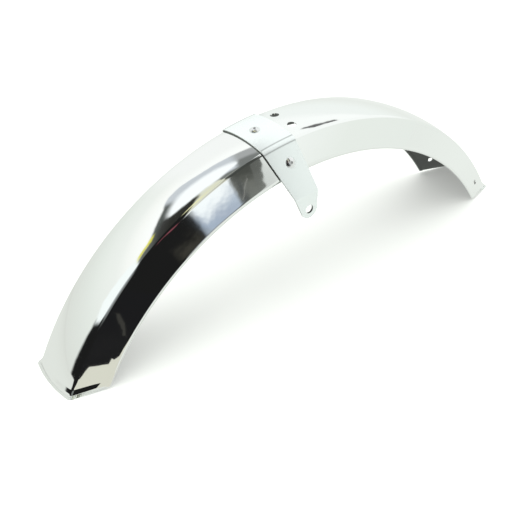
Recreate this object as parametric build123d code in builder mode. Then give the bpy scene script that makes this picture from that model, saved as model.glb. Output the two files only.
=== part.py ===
from build123d import *
from math import atan2, cos, degrees, radians, sin, sqrt, tan
import os

# Front mudguard of a light motorcycle: a chromed steel guard, bent round the wheel, and the plated
# strap that is riveted over its crown and carries it between the fork legs.
# X runs along the guard, with the stay holes towards +X. Y runs across it and Z is up.
# The guard stands on its two end lips, and the origin is on the floor under the middle of the arch.

# Guard section: outside sizes, with radii taken from the wheel axis
sheet = 1.0  # wall of the guard
crown_radius = 300.0  # wheel axis to the top of the crown
crown_drop = 3.4  # fall of the crown from its middle to the shoulder corner
shoulder_width = 58.0  # across the shoulder corners, before they are rounded
shoulder_radius = 4.0
skirt_depth = 31.5  # crown to lower edge, along the radius
skirt_width = 83.5  # across the two lower edges
hem_depth = 4.0  # lower edges folded inwards, flat against the wall

# Guard ends
corner_angle = 58.9  # lower corner of each end, from the top of the arch
end_slope = 5.0  # end cut, falling outwards from the lower corners
lip_width = 6.5  # flared strip along each end
lip_rise = 2.5  # how far the flare stands out of the crown and shoulders
lip_middle = 0.5  # share of the lip's width at its middle section, which has that share squared of the rise

# Holes in the guard
crown_hole_diameter = 8.5
crown_hole_spacing = 25.0  # across the guard
crown_hole_reach = 29.2  # along the crown, from the middle of the strap
stay_hole_diameter = 5.0
stay_hole_inset = 7.2  # along the flank, from the lower corner of the end
stay_hole_rise = 15.9  # above the lower edge, along the radius

# Fork strap: one folded blank over the crown, with an ear hanging beside each fork leg
strap_gauge = 2.0
strap_seat = 0.1  # clearance between the strap and the guard
strap_angle = -5.9  # middle of the strap, from the top of the arch
strap_width = 36.0  # over the crown
bend_drop = 19.0  # guard's lower edge to the fold where the ears turn upright, along the radius
bend_round = 3.0  # inside rounding of that fold
bend_left = -4.7  # ends of the fold line, along the guard from the middle of the strap
bend_right = 21.5
ear_hole_diameter = 8.5
ear_hole_offset = 9.0  # along the guard, from the middle of the strap
ear_hole_drop = 15.5  # fold to the middle of the hole
ear_end_radius = 9.0

# Blind rivets
rivet_diameter = 4.8
rivet_hole_clearance = 0.2  # on the diameter
rivet_head_diameter = 9.5
rivet_head_height = 1.7
rivet_rim = 0.4  # straight edge of the head
rivet_bore_diameter = 2.7
rivet_tail_diameter = 7.2  # upset end inside the guard
rivet_tail_length = 3.2
rivet_tail_bulge = 1.6  # below the sheet, where the tail is widest
rivet_tail_gap = 0.1
mandrel_clearance = 0.1  # on the diameter
mandrel_recess = 0.6  # broken end below the top of the head
mandrel_head_diameter = 4.4
mandrel_tip_diameter = 2.4
mandrel_head_length = 1.8
crown_rivet_offset = -2.8  # along the guard, from the middle of the strap
flank_rivet_offset = 4.4
flank_rivet_rise = 11.2  # above the guard's lower edge, along the radius

# Section points as (across, radius)
corner_point = (shoulder_width / 2, crown_radius - crown_drop)
edge_point = (skirt_width / 2, crown_radius - skirt_depth)
corner_radius = corner_point[1]
edge_radius = edge_point[1]
splay = degrees(atan2(edge_point[0] - corner_point[0], corner_radius - edge_radius))
stay_hole_radius = edge_radius + stay_hole_rise
stay_hole_angle = corner_angle - degrees(stay_hole_inset / stay_hole_radius)
bend_radius = edge_radius - bend_drop
ear_hole_radius = bend_radius - ear_hole_drop

# The end cut leaves the lower corner and meets the shoulder corner on the floor
slope_reach = edge_radius * sin(radians(corner_angle - end_slope))
shoulder_reach = sqrt(slope_reach**2 + corner_radius**2 - edge_radius**2) - slope_reach
corner_height = shoulder_reach * sin(radians(end_slope))
axis_height = corner_height - edge_radius * cos(radians(corner_angle))
wheel_axis = Axis((0, 0, axis_height), (0, 1, 0))


def radial_plane(angle):
    # Section plane at an angle from the top of the arch: x across the guard, y along the radius
    turn = radians(angle)
    return Plane(origin=(0, 0, axis_height), x_dir=(0, 1, 0), z_dir=(cos(turn), 0, -sin(turn)))


def side_plane(angle):
    # View from the side, turned by an angle: x along the guard, y along the radius
    turn = radians(angle)
    return Plane(origin=(0, 0, axis_height), x_dir=(cos(turn), 0, -sin(turn)), z_dir=(0, -1, 0))


def flank_across(radius):
    # Half width of the guard's outside at a radius on the flank
    return corner_point[0] + (corner_radius - radius) * tan(radians(splay))


def crown_place(angle, lift):
    # Plane facing out of the crown, lifted from the guard's outside
    turn = radians(angle)
    outward = Vector(sin(turn), 0, cos(turn))
    surface = Vector(0, 0, axis_height) + outward * (crown_radius + lift)
    return Plane(origin=surface, x_dir=(0, 1, 0), z_dir=outward)


def flank_place(angle, radius, side, lift):
    # Plane facing out of one flank, lifted from the guard's outside; side is -1 or 1
    turn = radians(angle)
    radial = Vector(sin(turn), 0, cos(turn))
    outward = radial * sin(radians(splay)) + Vector(0, side * cos(radians(splay)), 0)
    surface = Vector(0, side * flank_across(radius), axis_height) + radial * radius
    return Plane(origin=surface + outward * lift, z_dir=outward)


def flank_frame(flare):
    # One flank of the section: its lower edge, the way up it and the way into the guard
    edge = Vector(*edge_point)
    corner = Vector(corner_point[0] + flare, corner_radius + flare)
    upward = (corner - edge).normalized()
    return edge, corner, upward, Vector(-upward.Y, upward.X)


def guard_section(flare):
    # Half of the sheet's section, with the crown and shoulder pushed out by the flare
    edge, corner, upward, inward = flank_frame(flare)
    fold = edge + upward * sheet
    hem_top = edge + upward * hem_depth
    with BuildSketch() as section:
        with BuildLine() as outside:
            crown = TangentArc((0, crown_radius + flare), corner, tangent=(1, 0))
            Line(corner, fold)
            fillet(outside.vertices().sort_by_distance(crown @ 1)[0], shoulder_radius)
            offset(amount=sheet, side=Side.RIGHT)
        make_face()
        # Folded strip along the lower edge, laid half into the wall, and the round of the fold below it
        with BuildLine():
            hem_inside = [fold + inward * 2 * sheet, hem_top + inward * 2 * sheet]
            Polyline(fold, *hem_inside, hem_top + inward * sheet / 2, close=True)
        make_face()
        with Locations(fold + inward * sheet):
            Circle(sheet)
    return section.sketch


def end_plane(lift):
    # The end cut at +X, facing up into the guard and lifted along its normal
    slope = radians(end_slope)
    normal = Vector(sin(slope), 0, cos(slope))
    corner = Vector(edge_radius * sin(radians(corner_angle)), 0, corner_height)
    return Plane(origin=corner + normal * lift, x_dir=(0, 1, 0), z_dir=normal)


def below_ends(lift):
    # Side view of all that lies under the two end cuts, which meet in a gable over the origin
    cut = end_plane(lift)
    fall = tan(radians(end_slope))
    gable = cut.origin.Z + cut.origin.X * fall
    with BuildSketch(Plane.XZ) as under:
        with BuildLine():
            Polyline(
                (0, gable),
                (crown_radius, gable - crown_radius * fall),
                (crown_radius, -crown_radius),
                (-crown_radius, -crown_radius),
                (-crown_radius, gable - crown_radius * fall),
                close=True,
            )
        make_face()
    return under.sketch


def end_section(flare, lift):
    # Face that the lifted end plane cuts from the arch at one flare
    profile = guard_section(flare)
    with BuildPart() as arch_end:
        with BuildSketch(radial_plane(0)):
            add(profile)
        revolve(axis=wheel_axis, revolution_arc=90)
        split(bisect_by=end_plane(lift), keep=Keep.TOP)
    downward = Axis((0, 0, 0), -end_plane(lift).z_dir)
    return arch_end.faces().filter_by(GeomType.PLANE).sort_by(downward)[-1]


def along_crown(reach):
    # Angle of a point that lies so far along the crown from the middle of the strap
    return strap_angle + degrees(reach / crown_radius)


def strap_polar(offset_along, radius):
    # Angle and radius of a point given in the strap's side view
    return strap_angle + degrees(atan2(offset_along, radius)), sqrt(offset_along**2 + radius**2)


# Rivet places, on the outside of the strap
strap_lift = strap_seat + strap_gauge
flank_angle, flank_radius = strap_polar(flank_rivet_offset, edge_radius + flank_rivet_rise)
crown_rivet_place = crown_place(along_crown(crown_rivet_offset), strap_lift)
flank_rivet_places = [flank_place(flank_angle, flank_radius, side, strap_lift) for side in (-1, 1)]
rivet_places = [crown_rivet_place, *flank_rivet_places]
rivet_hole_diameter = rivet_diameter + rivet_hole_clearance
crown_hole_x = crown_radius * sin(radians(along_crown(crown_hole_reach)))

# End lip: flares out of the crown and shoulders in a widening curve and fades down the flanks
lip_start = end_section(0, lip_width)
lip_half = end_section(lip_rise * lip_middle**2, lip_width * (1 - lip_middle))
lip_end = end_section(lip_rise, 0)
with BuildPart() as end_lip:
    loft([lip_start, lip_half, lip_end])

# One flank and half of the crown, with its holes and its two lips, trimmed level where they stand
half_section = guard_section(0)
with BuildPart() as guard_half:
    with BuildSketch(radial_plane(-90)):
        add(half_section)
    revolve(axis=wheel_axis, revolution_arc=180)
    with Locations((crown_hole_x, crown_hole_spacing / 2, crown_radius + axis_height)):
        Cylinder(crown_hole_diameter / 2, skirt_depth, mode=Mode.SUBTRACT)
    with Locations(crown_rivet_place, flank_rivet_places[1]):
        Cylinder(rivet_hole_diameter / 2, skirt_depth, mode=Mode.SUBTRACT)
    with BuildSketch(side_plane(stay_hole_angle)):
        with Locations((0, stay_hole_radius)):
            Circle(stay_hole_diameter / 2)
    extrude(amount=skirt_width, both=True, mode=Mode.SUBTRACT)
    extrude(below_ends(lip_width), amount=skirt_width, both=True, mode=Mode.SUBTRACT)
    add(end_lip.part)
    mirror(end_lip.part, about=Plane.YZ)
    split(bisect_by=Plane.XY, keep=Keep.TOP)

# Mudguard: both halves in one sheet
with BuildPart() as mudguard:
    add(guard_half.part)
    mirror(guard_half.part, about=Plane.XZ)
mudguard.part.label = "mudguard"


def strap_line():
    # Guard's outside, carried on past its lower edges and turned upright below the fold
    bend = (flank_across(bend_radius), bend_radius)
    tip = (bend[0], ear_hole_radius - 2 * ear_end_radius)
    with BuildLine() as line:
        Polyline((-tip[0], tip[1]), (-bend[0], bend[1]), (-corner_point[0], corner_radius))
        ThreePointArc((-corner_point[0], corner_radius), (0, crown_radius), corner_point)
        Polyline(corner_point, bend, tip)
        fillet(line.vertices().group_by(Axis.Y)[-1], shoulder_radius)
        fillet(line.vertices().group_by(Axis.Y)[1], bend_round)
    return line.wire()


def strap_section():
    # The strap's gauge, laid outside that line and clear of the guard
    seat = strap_line()
    with BuildSketch() as section:
        for reach, mode in ((strap_lift, Mode.ADD), (strap_seat, Mode.SUBTRACT)):
            with BuildLine():
                add(seat)
                offset(amount=reach, side=Side.LEFT)
            make_face(mode=mode)
    return section.sketch


# One ear from the side: the fold line and the round end, joined by straight edges
with BuildSketch() as ear:
    with BuildLine():
        Line((bend_left, bend_radius), (bend_right, bend_radius))
    with Locations((ear_hole_offset, ear_hole_radius)):
        Circle(ear_end_radius)
    make_hull()

# Fork strap: its section turned about the wheel axis, well past the strap's width to both sides,
# and trimmed to the blank's outline seen from the side
half_width = strap_width / 2
strap_reach = degrees(2 * strap_width / ear_hole_radius)
strap_profile = strap_section()
with BuildPart() as fork_strap:
    with BuildSketch(radial_plane(strap_angle - strap_reach)):
        add(strap_profile)
    revolve(axis=wheel_axis, revolution_arc=2 * strap_reach)
    with BuildSketch(side_plane(strap_angle)):
        with BuildLine():
            top = crown_radius + 2 * strap_lift
            Polyline(
                (-half_width, top),
                (-half_width, corner_radius),
                (bend_left, bend_radius),
                (bend_right, bend_radius),
                (half_width, corner_radius),
                (half_width, top),
                close=True,
            )
        make_face()
        add(ear.sketch)
        with Locations((ear_hole_offset, ear_hole_radius)):
            Circle(ear_hole_diameter / 2, mode=Mode.SUBTRACT)
    extrude(amount=skirt_width, both=True, mode=Mode.INTERSECT)
    with Locations(*rivet_places):
        Cylinder(rivet_hole_diameter / 2, skirt_depth, mode=Mode.SUBTRACT)
fork_strap.part.label = "fork_strap"

# Blind rivet, with the underside of its head at the origin: domed head, hollow shank and upset tail
grip = strap_lift + sheet + rivet_tail_gap
tail_end = -grip - rivet_tail_length
bore = rivet_bore_diameter / 2
shank = rivet_diameter / 2
with BuildPart() as rivet_body:
    with BuildSketch(Plane.XZ):
        with BuildLine():
            head_edge = rivet_head_diameter / 2
            head_top = (bore, rivet_head_height)
            rim_top = (head_edge, rivet_rim)
            bulge = (rivet_tail_diameter / 2, -grip - rivet_tail_bulge)
            tail_side = [(shank, tail_end), bulge, (shank, -grip)]
            Polyline(head_top, (bore, tail_end), *tail_side, (shank, 0), (head_edge, 0), rim_top)
            TangentArc(head_top, rim_top, tangent=(1, 0))
        make_face()
    revolve(axis=Axis.Z)

# Its mandrel: the stem is pulled until it snaps inside the head, and its own head stays in the tail
with BuildPart() as rivet_mandrel:
    with BuildSketch(Plane.XZ):
        with BuildLine():
            stem = (rivet_bore_diameter - mandrel_clearance) / 2
            stem_top = rivet_head_height - mandrel_recess
            seat_height = tail_end - mandrel_clearance
            tip_height = seat_height - mandrel_head_length
            head_rim = (mandrel_head_diameter / 2, seat_height)
            tip_rim = (mandrel_tip_diameter / 2, tip_height)
            stem_side = [(0, stem_top), (stem, stem_top), (stem, seat_height)]
            Polyline(*stem_side, head_rim, tip_rim, (0, tip_height), close=True)
        make_face()
    revolve(axis=Axis.Z)

with BuildPart() as rivet_bodies:
    with Locations(*rivet_places):
        add(rivet_body.part)
rivet_bodies.part.label = "rivet_bodies"

with BuildPart() as rivet_mandrels:
    with Locations(*rivet_places):
        add(rivet_mandrel.part)
rivet_mandrels.part.label = "rivet_mandrels"

os.makedirs("parts", exist_ok=True)
export_step(mudguard.part, "parts/mudguard.step")
export_step(fork_strap.part, "parts/fork_strap.step")
export_step(rivet_bodies.part, "parts/rivet_bodies.step")
export_step(rivet_mandrels.part, "parts/rivet_mandrels.step")
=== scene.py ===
import bpy
import numpy as np
from mathutils import Matrix


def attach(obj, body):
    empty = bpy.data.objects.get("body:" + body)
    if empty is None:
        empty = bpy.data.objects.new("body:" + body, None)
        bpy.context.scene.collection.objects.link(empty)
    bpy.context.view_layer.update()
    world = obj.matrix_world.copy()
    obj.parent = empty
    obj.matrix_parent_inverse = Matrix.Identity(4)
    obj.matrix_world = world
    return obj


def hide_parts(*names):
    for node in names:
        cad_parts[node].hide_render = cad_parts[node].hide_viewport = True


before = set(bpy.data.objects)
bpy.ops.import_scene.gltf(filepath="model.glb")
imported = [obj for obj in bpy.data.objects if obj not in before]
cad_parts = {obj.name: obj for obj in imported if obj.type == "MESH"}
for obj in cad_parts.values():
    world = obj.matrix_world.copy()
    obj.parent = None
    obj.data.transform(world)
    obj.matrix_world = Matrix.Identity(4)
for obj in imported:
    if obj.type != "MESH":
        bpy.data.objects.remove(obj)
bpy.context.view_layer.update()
scene = bpy.context.scene
scene.view_settings.view_transform = "Standard"
mm = 0.001  # pieces are worked out in millimetres


def unit(v):
    # vectors divided by their length
    return v / np.linalg.norm(v, axis=-1, keepdims=True)


def newStore():
    # lists that gather the grids of one piece
    return {"points": [], "tris": [], "normals": [], "finish": [], "foldShade": [], "count": 0}


def addTriangles(store, points, tris, corners, finish, foldShade=0.0):
    # points (n,3), tris (t,3) into them, corners (t,3,3) shading normals; finish is the material number
    store["points"].append(points)
    store["foldShade"].append(np.broadcast_to(foldShade, len(points)))
    store["tris"].append(tris + store["count"])
    store["normals"].append(corners)
    store["finish"].append(np.full(len(tris), finish))
    store["count"] += len(points)


def gridTriangles(rows, cols, rim):
    # two triangles to a cell; the diagonal joins two rim points where a cell has them
    k = np.arange(rows * cols).reshape(rows, cols)
    a, b, c, d = k[:-1, :-1].ravel(), k[1:, :-1].ravel(), k[1:, 1:].ravel(), k[:-1, 1:].ravel()
    swap = rim[b] & rim[d] & ~(rim[a] & rim[c])
    first = np.where(swap[:, None], np.c_[a, b, d], np.c_[a, b, c])
    second = np.where(swap[:, None], np.c_[b, c, d], np.c_[a, c, d])
    return np.vstack([first, second])


def faceAlong(points, tris, corners):
    # turns over the triangles that face against their shading normals
    face = np.cross(points[tris[:, 1]] - points[tris[:, 0]], points[tris[:, 2]] - points[tris[:, 0]])
    wrong = (face * corners.sum(1)).sum(1) < 0
    tris[wrong], corners[wrong] = tris[wrong][:, ::-1], corners[wrong][:, ::-1]
    return tris, corners


def addGrid(store, points, normals, finish, inside=None, rim=None, foldShade=0.0):
    # a surface on a rows x cols grid; inside marks the points that holes cut away, rim those on their edges
    rows, cols = points.shape[:2]
    flat, flatNormals = points.reshape(-1, 3), normals.reshape(-1, 3)
    rim = np.zeros(len(flat), bool) if rim is None else rim
    inside = np.zeros(len(flat), bool) if inside is None else inside
    tris = gridTriangles(rows, cols, rim)
    tris = tris[~(inside[tris].any(1) | rim[tris].all(1))]
    tris, corners = faceAlong(flat, tris, flatNormals[tris])
    addTriangles(store, flat, tris, corners, finish, foldShade)


def addRibbon(store, upper, lower, normals, finish):
    # quads between two lines of points, facing along the given normals
    n = len(upper)
    points = np.vstack([upper, lower])
    i = np.arange(n - 1)
    tris = np.vstack([np.c_[i, i + 1, i + 1 + n], np.c_[i, i + 1 + n, i + n]])
    tris, corners = faceAlong(points, tris, np.vstack([normals, normals])[tris])
    addTriangles(store, points, tris, corners, finish)


def toCircle(points, normals, hole):
    # distance from the hole's axis, place along it, and the slide along the surface that ends on the hole's circle
    away = points - hole["centre"]
    along = (away * hole["axis"]).sum(1)
    plan = away - along[:, None] * hole["axis"]
    dist = np.linalg.norm(plan, axis=1)
    slide = plan * (hole["radius"] / np.maximum(dist, 1e-6) - 1)[:, None]
    climb = (normals * slide).sum(1) / (normals * hole["axis"]).sum(1)
    return dist, along, slide - climb[:, None] * hole["axis"]


def boreAll(outer, inner, normals, holes, pitch):
    # cuts every hole in both walls: points within half a cell of its circle slide onto it, and the outer wall
    # decides which points these are and which lie inside
    flatOuter, flatInner, flatNormals = [grid.reshape(-1, 3) for grid in (outer, inner, normals)]
    rims, insides = [], []
    for hole in holes:
        dist, along, slide = toCircle(flatOuter, flatNormals, hole)
        close = np.abs(along) < hole["depth"]
        rim = close & (np.abs(dist - hole["radius"]) < pitch / 2)
        insides.append(close & ~rim & (dist < hole["radius"]))
        rims.append(rim)
        flatOuter[rim] += slide[rim]
        flatInner[rim] += toCircle(flatInner, flatNormals, hole)[2][rim]
    return rims, insides


def holeWalls(store, outer, inner, shape, holes, rims, insides, finish):
    # the cut edge of each hole: outer and inner rim points share their numbering
    for hole, rim, inside in zip(holes, rims, insides):
        tris = gridTriangles(*shape, rim)
        cut = tris[inside[tris].any(1) | rim[tris].all(1)]
        edges = np.sort(np.vstack([cut[:, [0, 1]], cut[:, [1, 2]], cut[:, [2, 0]]]), axis=1)
        edges, count = np.unique(edges, axis=0, return_counts=True)
        edges = edges[(count == 1) & rim[edges].all(1)]
        i, j = edges[:, 0], edges[:, 1]
        points = np.vstack([outer[i], outer[j], inner[j], inner[i]])
        k = np.arange(len(i))
        n = len(i)
        tris = np.vstack([np.c_[k, k + n, k + 2 * n], np.c_[k, k + 2 * n, k + 3 * n]])
        away = points - hole["centre"]
        away -= (away * hole["axis"]).sum(1)[:, None] * hole["axis"]
        tris, corners = faceAlong(points, tris, -unit(away)[tris])
        addTriangles(store, points, tris, corners, finish)


def makePiece(name, store, materials):
    # welds equal points, drops collapsed triangles and keeps the worked-out shading normals
    points = np.vstack(store["points"])
    tris, corners, finish = np.vstack(store["tris"]), np.vstack(store["normals"]), np.concatenate(store["finish"])
    _, first, back = np.unique(np.round(points, 4), axis=0, return_index=True, return_inverse=True)
    tris = back.reshape(-1)[tris]
    whole = (tris[:, 0] != tris[:, 1]) & (tris[:, 1] != tris[:, 2]) & (tris[:, 2] != tris[:, 0])
    tris, corners, finish = tris[whole], corners[whole], finish[whole]
    mesh = bpy.data.meshes.new(name)
    mesh.vertices.add(len(first))
    mesh.vertices.foreach_set("co", (points[first] * mm).astype(np.float32).ravel())
    mesh.loops.add(tris.size)
    mesh.loops.foreach_set("vertex_index", tris.astype(np.int32).ravel())
    mesh.polygons.add(len(tris))
    mesh.polygons.foreach_set("loop_start", np.arange(0, tris.size, 3, dtype=np.int32))
    for material in materials:
        mesh.materials.append(material)
    mesh.polygons.foreach_set("material_index", finish.astype(np.int32))
    mesh.update(calc_edges=True)
    mesh.polygons.foreach_set("use_smooth", np.ones(len(tris), bool))
    mesh.normals_split_custom_set(corners.reshape(-1, 3).tolist())
    marks = mesh.attributes.new("foldShade", "FLOAT", "POINT")
    marks.data.foreach_set("value", np.concatenate(store["foldShade"])[first].astype(np.float32))
    piece = bpy.data.objects.new(name, mesh)
    scene.collection.objects.link(piece)
    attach(piece, "root")
    print(name, len(tris), "triangles")
    return piece


# sizes in millimetres and angles in degrees, with radii from the wheel axis to the outside; the rolls are in radians
guard = {
    "sheet": 1.0, "crownRadius": 300.0, "crownDrop": 3.4, "shoulderWidth": 58.0, "shoulderRadius": 4.0,
    "skirtDepth": 31.5, "skirtWidth": 83.5, "hemDepth": 4.0, "hemRoll": 0.75,
    "cornerAngle": 58.9, "endSlope": 5.0, "lipWidth": 6.5, "lipRise": 2.42, "lipKick": 0.35, "lipPower": 5.0,
    "lipRoll": 1.1, "lipCurl": [(0, 0.08, 0.15, 0.66, 0.73, 1.0), (0, 16, 22, 24, -30, -75)],
    "crownHole": 8.5, "crownHoleSpacing": 25.0, "crownHoleReach": 29.2,
    "stayHole": 5.0, "stayHoleInset": 7.2, "stayHoleRise": 15.9,
    "strapAngle": -5.9, "rivetHole": 5.0, "crownRivetOffset": -2.8,
    "flankRivetOffset": 4.4, "flankRivetRise": 11.2, "holeDepth": 6.0,
    "pitch": 1.15, "rowPitch": 3.0, "fineReach": 8.0, "lipRows": 15, "hemCols": 8, "foldCols": 9,
}
edgeRadius = guard["crownRadius"] - guard["skirtDepth"]
cornerRadius = guard["crownRadius"] - guard["crownDrop"]
slope = np.radians(guard["endSlope"])
slopeReach = edgeRadius * np.sin(np.radians(guard["cornerAngle"]) - slope)
shoulderReach = np.sqrt(slopeReach**2 + cornerRadius**2 - edgeRadius**2) - slopeReach
cornerHeight = shoulderReach * np.sin(slope)
axisHeight = cornerHeight - edgeRadius * np.cos(np.radians(guard["cornerAngle"]))
endReach = edgeRadius * np.cos(np.radians(guard["cornerAngle"]) - slope)


def sectionFrame(flare):
    # lines of the half section at a flare: crown circle, flank line and the round between them
    half = guard["shoulderWidth"] / 2 + flare
    corner = np.stack([half, cornerRadius + flare], -1)
    edge = np.array([guard["skirtWidth"] / 2, edgeRadius])
    upward = unit(corner - edge)
    outward = np.stack([upward[..., 1], -upward[..., 0]], -1)
    crownRound = (half**2 + guard["crownDrop"]**2) / (2 * guard["crownDrop"])
    centre = np.stack([np.zeros_like(half), guard["crownRadius"] + flare - crownRound], -1)
    away = corner - outward * guard["shoulderRadius"] - centre
    slide = (away * upward).sum(-1)
    reach = slide**2 - (away**2).sum(-1) + (crownRound - guard["shoulderRadius"])**2
    down = slide - np.sqrt(reach)
    down = np.where(down > 0, down, slide + np.sqrt(reach))
    turn = corner - upward * down[..., None] - outward * guard["shoulderRadius"]
    return {
        "edge": edge, "upward": upward, "outward": outward, "round": crownRound, "centre": centre, "turn": turn,
        "turnStart": np.arctan2(turn[..., 0], turn[..., 1] - centre[..., 1]),
        "turnEnd": np.arctan2(outward[..., 0], outward[..., 1]),
        "flankTop": turn + outward * guard["shoulderRadius"],
        "fold": edge + upward * guard["sheet"], "hemTop": edge + upward * guard["hemDepth"],
    }


def onCircle(centre, radius, angle):
    # points and normals at angles measured from the radius towards the outside
    normal = np.stack([np.sin(angle), np.cos(angle)], -1)
    return centre + normal * radius, normal


def lipFlare(share):
    # how far the lip stands out: a straight part and a high power of the way across it, full at share 0
    way = 1 - share
    return guard["lipRise"] * (guard["lipKick"] * way + (1 - guard["lipKick"]) * way**guard["lipPower"])


def wallSection(lift, shares):
    # half wall as (across, radius): crown arc, shoulder round and flank line, with the section's normals
    flare = lipFlare(lift / guard["lipWidth"])
    crownFlare, turnFlare, flankFlare = np.split(flare, np.cumsum([len(share) for share in shares])[:2], axis=1)
    s = sectionFrame(crownFlare)
    crown = onCircle(s["centre"], s["round"][..., None], s["turnStart"] * shares[0])
    s = sectionFrame(turnFlare)
    shoulder = onCircle(s["turn"], guard["shoulderRadius"],
                        s["turnStart"] + (s["turnEnd"] - s["turnStart"]) * shares[1])
    s = sectionFrame(flankFlare)
    flank = s["flankTop"] + (s["fold"] - s["flankTop"]) * shares[2][:, None]
    points = np.concatenate([crown[0], shoulder[0], flank], 1)
    return points, np.concatenate([crown[1], shoulder[1], s["outward"]], 1)


def floorLift(shares, depth):
    # least lift of each column, where the flared lip meets the floor; depth is the way into the sheet
    count = sum(len(share) for share in shares)
    low, high = np.zeros((1, count)), np.full((1, count), guard["lipWidth"])
    for step in range(40):
        middle = low if step == 0 else (low + high) / 2
        points, normals = wallSection(middle, shares)
        radius = (points - normals * depth)[..., 1]
        under = radius * np.cos(slope + np.arccos((endReach + middle) / radius)) + axisHeight < 0
        if step == 0:
            high = np.where(under, high, 0)
        low, high = np.where(under, middle, low), np.where(under, high, middle)
    return high


def mirrored(half):
    # whole line from the near edge over the crown to the far edge
    near = half[:, ::-1] * np.array([-1, 1])
    return np.concatenate([near, half[:, 1:]], 1)


def endAngle(radius, lift):
    # where a circle about the wheel axis meets the lifted end plane, or the floor if that comes first
    angle = slope + np.arccos((endReach + lift) / radius)
    return np.minimum(angle, np.arccos(-axisHeight / radius))


def swept(section, sectionNormal, lift, share):
    # turns section rows about the wheel axis; share -1..1 is the place between the two end cuts
    radius = section[..., 1]
    angle = share[:, None] * endAngle(radius, lift)
    points = np.stack([radius * np.sin(angle), section[..., 0], radius * np.cos(angle) + axisHeight], -1)
    normals = np.stack([sectionNormal[..., 1] * np.sin(angle), sectionNormal[..., 0],
                        sectionNormal[..., 1] * np.cos(angle)], -1)
    return points, normals


def spread(start, stop, step, fine, finePlaces, reach):
    # steps of one pitch, with finer ones near given places
    line = np.linspace(start, stop, int(np.ceil((stop - start) / step)) + 1)
    for place in finePlaces:
        low, high = max(start, place - reach), min(stop, place + reach)
        line = np.concatenate([line[(line < low) | (line > high)],
                               np.linspace(low, high, int(np.ceil((high - low) / fine)) + 1)])
    return np.unique(np.round(line, 6))


def guardRows():
    # place between the ends and share of the lip's width for every row from the left end to the right one
    span = guard["crownRadius"] * endAngle(np.array([guard["crownRadius"]]), guard["lipWidth"])[0]
    strapMiddle = np.radians(guard["strapAngle"]) * guard["crownRadius"]
    stayPlace = span - guard["stayHoleInset"] + guard["lipWidth"] * 0.4
    middle = spread(-span, span, guard["rowPitch"], guard["pitch"],
                    [strapMiddle, strapMiddle + guard["crownHoleReach"], stayPlace], guard["fineReach"]) / span
    lips = np.linspace(0, 1, guard["lipRows"])[:-1]
    share = np.concatenate([-np.ones(len(lips)), middle, np.ones(len(lips))])
    return share, np.concatenate([lips, np.ones(len(middle)), lips[::-1]])[:, None]


def wholeWall(shares, rows, depth):
    # both halves of one wall, swept from end to end; depth 0 is the outside
    share, lipShare = rows
    least = floorLift(shares, depth)
    lift = least + (guard["lipWidth"] - least) * lipShare
    half, halfNormal = wallSection(lift, shares)
    half = half - halfNormal * depth
    lift = np.concatenate([lift[:, ::-1], lift[:, 1:]], 1)
    return swept(mirrored(half), mirrored(halfNormal), lift, share)


def surfaceNormals(points, plain, lipRows):
    # on the lips the normal follows the flare: the cross product of the two directions of the grid
    across = np.gradient(points, axis=1)
    along = np.gradient(points, axis=0)
    lip = unit(np.cross(along, across))
    lip *= np.sign((lip * plain).sum(-1, keepdims=True))
    normals = plain.copy()
    normals[:lipRows], normals[-lipRows:] = lip[:lipRows], lip[-lipRows:]
    return normals


def radialPoint(angle, radius, across):
    # a radius turned from the top of the wheel by an angle, and a place across the guard
    return np.array([radius * np.sin(angle), across, radius * np.cos(angle) + axisHeight])


def flankAcross(radius):
    # half width of the outside at a radius on the flank
    rise = (guard["skirtWidth"] - guard["shoulderWidth"]) / 2 / (cornerRadius - edgeRadius)
    return guard["shoulderWidth"] / 2 + (cornerRadius - radius) * rise


def roundHole(centre, axis, width):
    # a circle about an axis, and how far along that the walls are searched for it
    return {"centre": centre, "axis": np.array(axis, float), "radius": width / 2, "depth": guard["holeDepth"]}


def rivetHoles():
    # square to the wall: one in the middle of the crown and one in each flank
    outward = sectionFrame(np.zeros(1))["outward"][0]
    strapMiddle = np.radians(guard["strapAngle"])
    middle = strapMiddle + guard["crownRivetOffset"] / guard["crownRadius"]
    holes = [roundHole(radialPoint(middle, guard["crownRadius"], 0.0), (np.sin(middle), 0, np.cos(middle)),
                       guard["rivetHole"])]
    rise = edgeRadius + guard["flankRivetRise"]
    angle = strapMiddle + np.arctan2(guard["flankRivetOffset"], rise)
    radius = np.hypot(guard["flankRivetOffset"], rise)
    radial = np.array([np.sin(angle), 0, np.cos(angle)])
    for side in (-1, 1):
        holes.append(roundHole(radialPoint(angle, radius, side * flankAcross(radius)),
                               radial * outward[1] + np.array([0, side * outward[0], 0]), guard["rivetHole"]))
    return holes


def guardHoles():
    # crown holes upright, stay holes across the guard
    holeAngle = np.radians(guard["strapAngle"]) + guard["crownHoleReach"] / guard["crownRadius"]
    stayRadius = edgeRadius + guard["stayHoleRise"]
    stayAngle = np.radians(guard["cornerAngle"]) - guard["stayHoleInset"] / stayRadius
    holes = rivetHoles()
    for side in (-1, 1):
        crownPlace = np.array([guard["crownRadius"] * np.sin(holeAngle), side * guard["crownHoleSpacing"] / 2,
                               guard["crownRadius"] + axisHeight])
        stayPlace = radialPoint(stayAngle, stayRadius, side * flankAcross(stayRadius))
        holes.append(roundHole(crownPlace, (0, 0, 1), guard["crownHole"]))
        holes.append(roundHole(stayPlace, (0, 1, 0), guard["stayHole"]))
    return holes


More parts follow.
